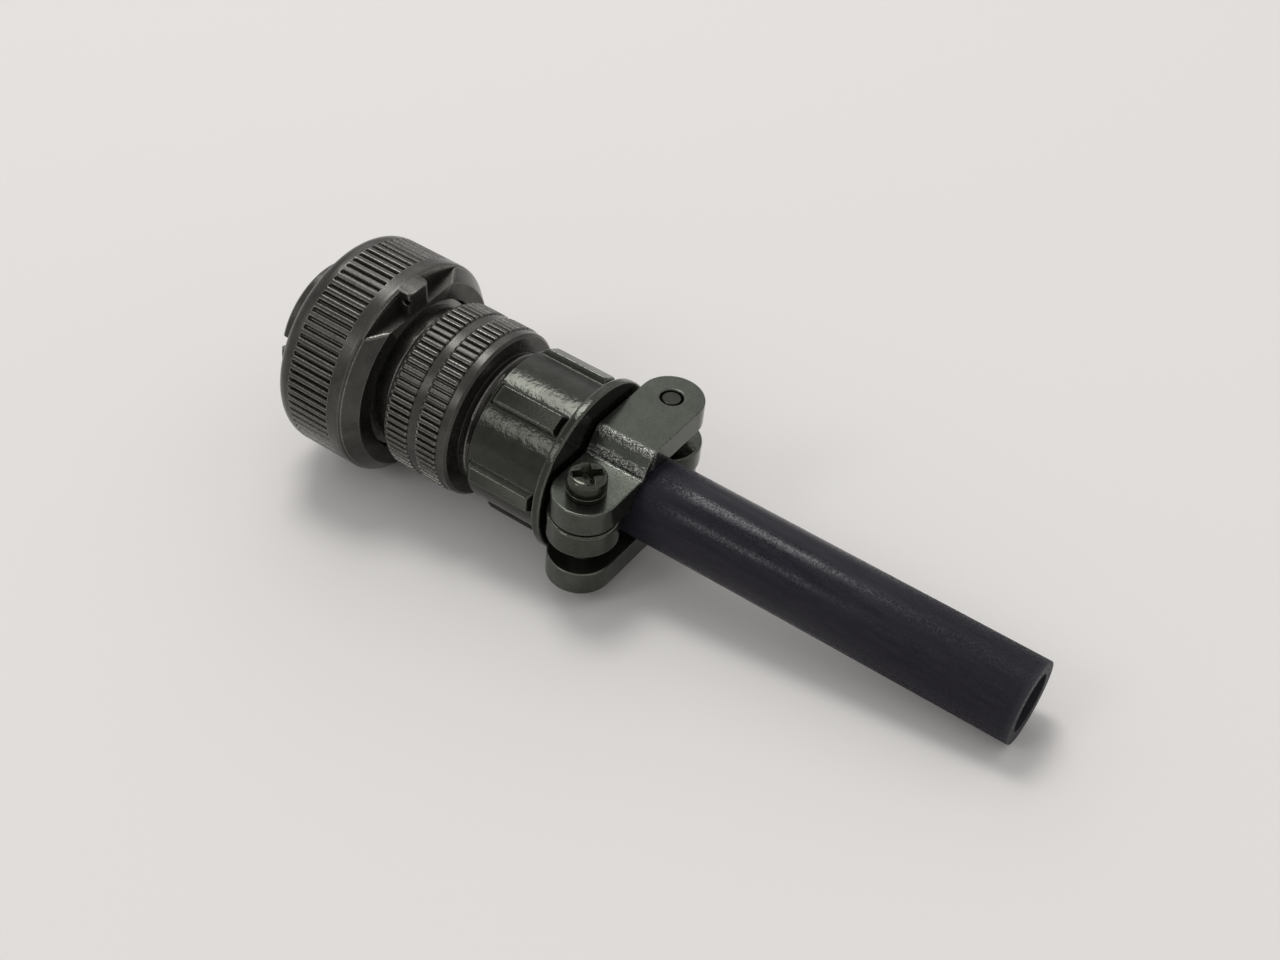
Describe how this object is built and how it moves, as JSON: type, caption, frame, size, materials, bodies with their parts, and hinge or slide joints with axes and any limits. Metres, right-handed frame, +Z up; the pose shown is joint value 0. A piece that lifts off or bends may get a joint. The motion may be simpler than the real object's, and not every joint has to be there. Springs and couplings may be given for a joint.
{
  "type": "circular threaded cable plug",
  "caption": "Circular threaded plug: knurled coupling nut with lock-wire tabs, socket insert, end bell, saddle cable clamp and rubber cable sleeve.",
  "frame": {"origin": "middle of the object's footprint, on the surface that it lies on", "axes": "+X along the plug towards the mating rim, +Y towards the clamp screw whose head is up, +Z up"},
  "size_m": [0.1034, 0.029, 0.0299],
  "materials": {
    "olive_metal": "olive drab plating, semi-gloss",
    "screw_metal": "dark plated steel",
    "ring_steel": "spring steel",
    "insert_plastic": "moulded, satin",
    "contact_plate": "plated copper alloy",
    "sleeve_rubber": "smooth black rubber, satin"
  },
  "bodies": {
    "plug": {"plug_shell": "olive_metal", "nut_retaining_ring": "ring_steel", "front_insert": "insert_plastic", "rear_insert": "insert_plastic", "insert_retaining_ring": "ring_steel", "contact_a": "contact_plate", "contact_b": "contact_plate", "contact_c": "contact_plate", "contact_d": "contact_plate", "contact_e": "contact_plate", "contact_f": "contact_plate", "end_bell": "olive_metal", "clamp_body": "olive_metal", "cable_sleeve": "sleeve_rubber"},
    "nut": {"coupling_nut": "olive_metal"},
    "upper_clamp": {"upper_saddle": "olive_metal", "near_lock_washer": "screw_metal"},
    "lower_clamp": {"lower_saddle": "olive_metal", "far_lock_washer": "screw_metal"},
    "near_fastener": {"near_screw": "screw_metal"},
    "far_fastener": {"far_screw": "screw_metal"}
  },
  "joints": [
    {"name": "nut_spin", "type": "hinge", "parent": "plug", "child": "nut", "pos_m": [0.0383, 0, 0.0146], "axis": [0.9946, 0, 0.1042], "continuous": true},
    {"name": "upper_saddle_lift", "type": "slide", "parent": "plug", "child": "upper_clamp", "axis": [-0.1042, 0, 0.9946], "range_m": [0, 0.0012]},
    {"name": "lower_saddle_lift", "type": "slide", "parent": "plug", "child": "lower_clamp", "axis": [0.1042, 0, -0.9946], "range_m": [0, 0.0012]},
    {"name": "near_screw_turn", "type": "hinge", "parent": "upper_clamp", "child": "near_fastener", "pos_m": [0.00329, 0.0087, 0.01093], "axis": [-0.1042, 0, 0.9946], "range_deg": [0, 1361]},
    {"name": "far_screw_turn", "type": "hinge", "parent": "lower_clamp", "child": "far_fastener", "pos_m": [0.00329, -0.0087, 0.01093], "axis": [0.1042, 0, -0.9946], "range_deg": [0, 1361]}
  ],
  "couplings": [
    {"joint": "lower_saddle_lift", "follows": "upper_saddle_lift", "ratio": 1},
    {"joint": "near_screw_turn", "follows": "upper_saddle_lift", "rad_per_m": 19790},
    {"joint": "far_screw_turn", "follows": "upper_saddle_lift", "rad_per_m": 19790}
  ]
}
